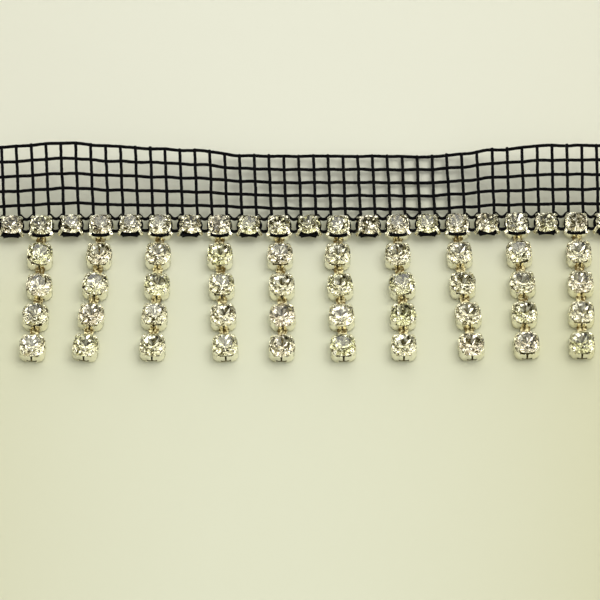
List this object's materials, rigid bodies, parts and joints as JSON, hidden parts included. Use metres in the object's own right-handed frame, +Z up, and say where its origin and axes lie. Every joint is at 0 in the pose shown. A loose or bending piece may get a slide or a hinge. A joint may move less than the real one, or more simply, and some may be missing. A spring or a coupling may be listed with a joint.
{
  "type": "rhinestone fringe trim",
  "caption": "Length of sewing trim: open black net with a row of claw-set crystals clamped along one edge and short drops of cup chain hanging from the row.",
  "frame": {"origin": "middle of the trim's outline seen from above, on the surface that it lies on", "axes": "+X along the trim, +Y towards the net's sewing edge, away from the drops, and +Z up from the surface, out of the crystals' faces"},
  "size_m": [0.1142, 0.0427, 0.0062],
  "materials": {
    "net": "matt black",
    "setting": "silver plated, each holding a clear foiled crystal",
    "crystal": "clear faceted glass with a silver foil on its back"
  },
  "bodies": {
    "root": {"net": "net", "setting_01": "setting", "setting_02": "setting", "setting_03": "setting", "setting_04": "setting", "setting_05": "setting", "setting_06": "setting", "setting_07": "setting", "setting_08": "setting", "setting_09": "setting", "setting_10": "setting", "setting_11": "setting", "setting_12": "setting", "setting_13": "setting", "setting_14": "setting", "setting_15": "setting", "setting_16": "setting", "setting_17": "setting", "setting_18": "setting", "setting_19": "setting", "setting_20": "setting", "setting_21": "setting", "drop_01": "setting", "drop_02": "setting", "drop_03": "setting", "drop_04": "setting", "drop_05": "setting", "drop_06": "setting", "drop_07": "setting", "drop_08": "setting", "drop_09": "setting", "drop_10": "setting"}
  },
  "joints": []
}
